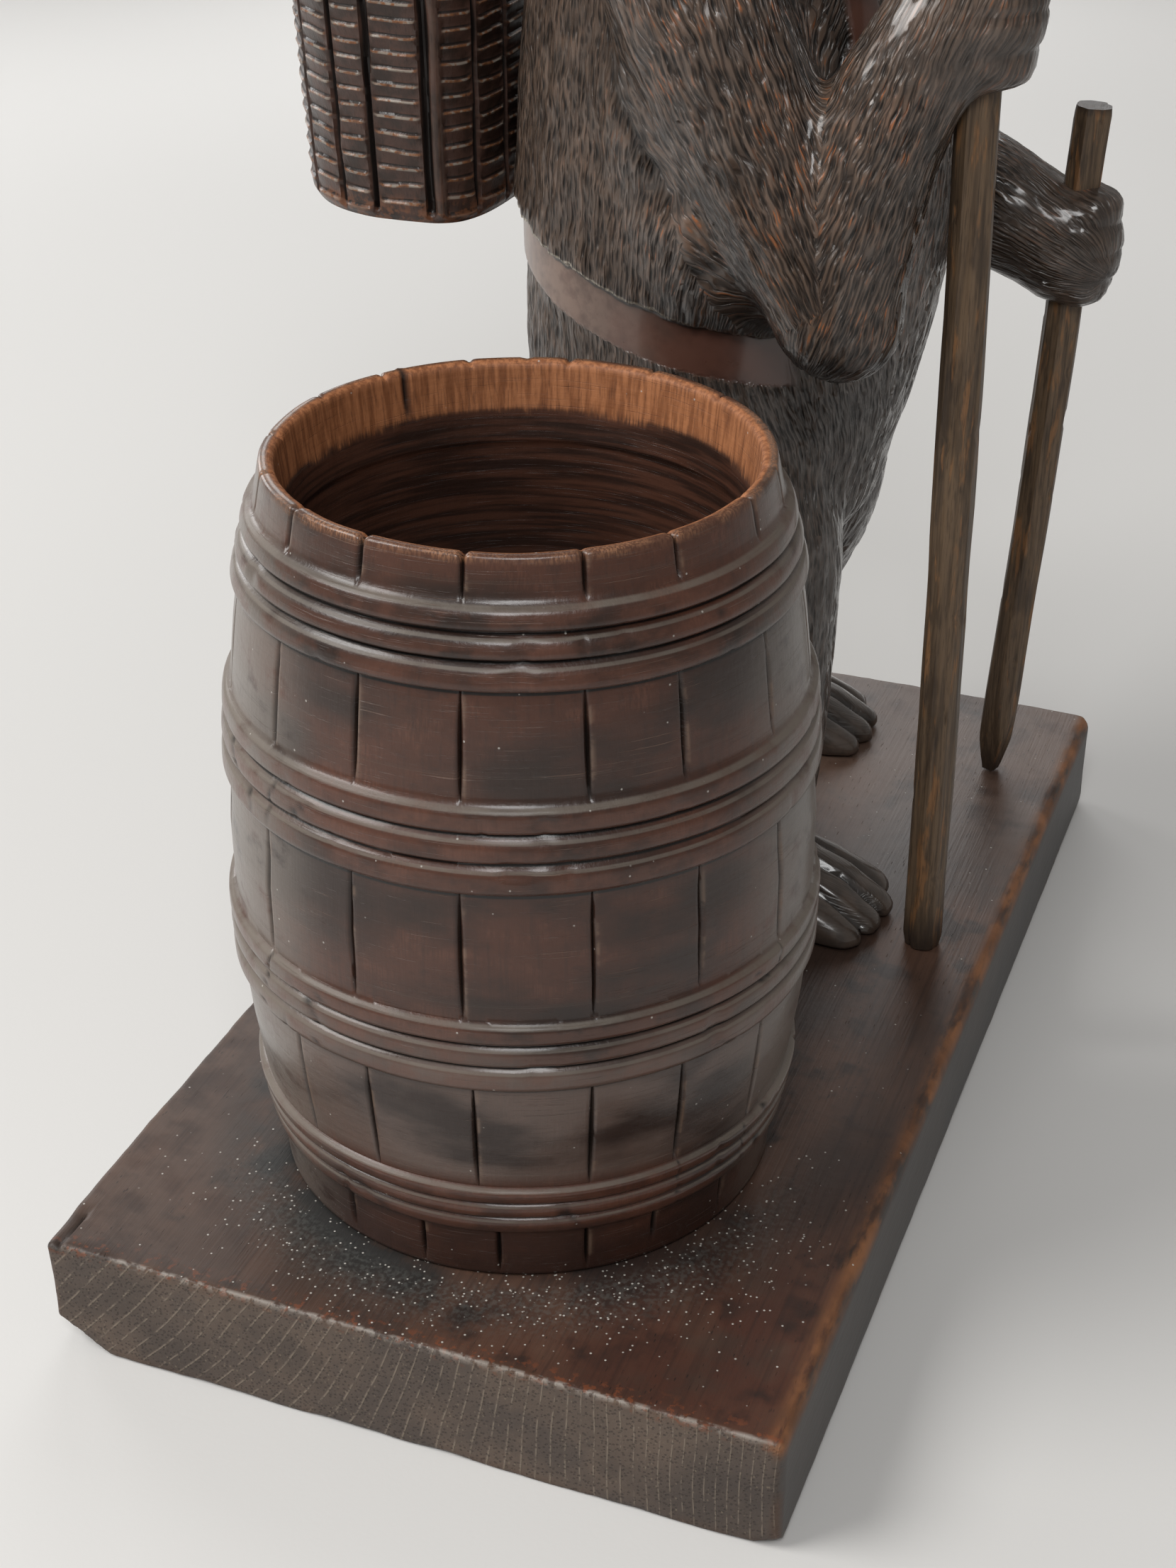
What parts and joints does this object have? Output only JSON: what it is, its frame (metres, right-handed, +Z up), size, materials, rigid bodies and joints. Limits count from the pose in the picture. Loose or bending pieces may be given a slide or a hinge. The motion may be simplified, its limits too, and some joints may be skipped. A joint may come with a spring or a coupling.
{
  "type": "carved bear bottle holder",
  "caption": "Carved wooden bear walking upright with a basket on its back and a stick in each paw, beside a turned barrel that holds a bottle, on a plank plinth",
  "frame": {"origin": "middle of the plinth's underside, on the surface that the object stands on", "axes": "+Z up; the plank's length lies along Y with the barrel at its -Y end; the bear stands at the +Y end and faces +X"},
  "size_m": [0.2137, 0.325, 0.4021],
  "materials": {
    "plinth_wood": "dark stained plank, worn to orange-brown along its edges, with dusty end grain",
    "barrel_wood": "turned wood, dark stain with a soft wax sheen, reddish where it is rubbed, raw inside the mouth",
    "bear_wood": "near-black stained carved fur with worn orange-brown crests and a waxy gloss",
    "basket_wood": "dark stained carved basketwork with pale worn edges",
    "stick_wood": "whittled stick with thin olive-brown stain, dull"
  },
  "bodies": {
    "root": {"plinth": "plinth_wood", "barrel": "barrel_wood", "bear": "bear_wood", "basket": "basket_wood", "near_stick": "stick_wood", "far_stick": "stick_wood"}
  },
  "joints": []
}
